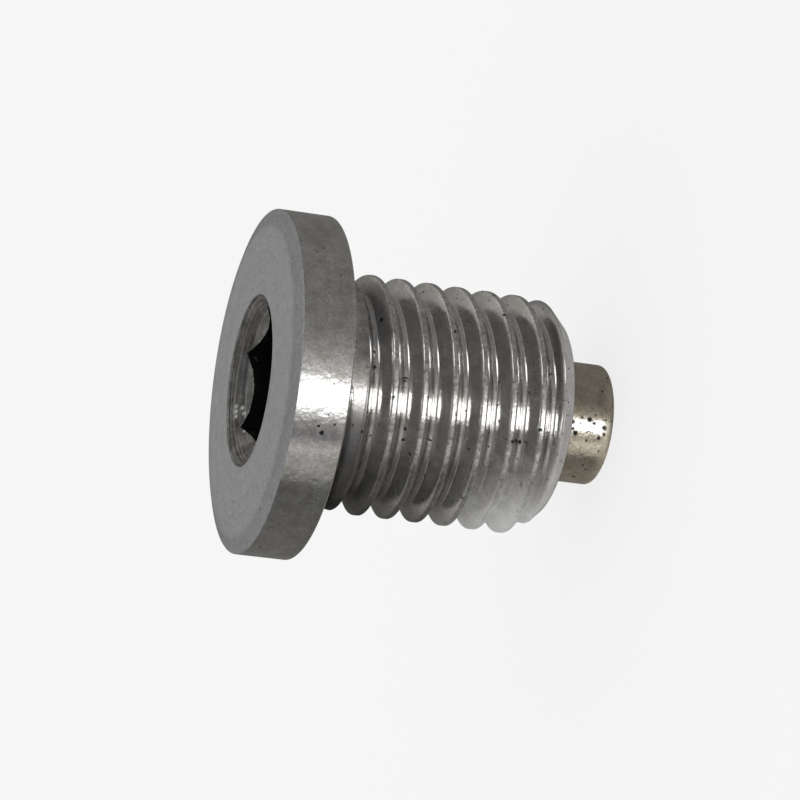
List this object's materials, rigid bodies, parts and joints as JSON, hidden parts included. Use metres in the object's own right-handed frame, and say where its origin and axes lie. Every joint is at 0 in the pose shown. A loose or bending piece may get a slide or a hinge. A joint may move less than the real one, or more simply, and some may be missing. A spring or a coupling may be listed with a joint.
{
  "type": "magnetic drain plug",
  "caption": "Turned drain plug with a round bevelled head, a countersunk hex socket, a right-hand threaded shank and a round magnet standing out of its tip.",
  "frame": {"origin": "centre of the sealing face under the head, where the shank enters the tapped hole", "axes": "+Z along the plug's axis, out of the hex socket; +X through a corner of the hex"},
  "size_m": [0.017, 0.017, 0.018],
  "materials": {
    "plug_metal": "turned, grey, fine marks",
    "magnet_plating": "plated, warm grey, lightly pitted"
  },
  "bodies": {
    "root": {"plug_body": "plug_metal", "magnet": "magnet_plating"}
  },
  "joints": []
}
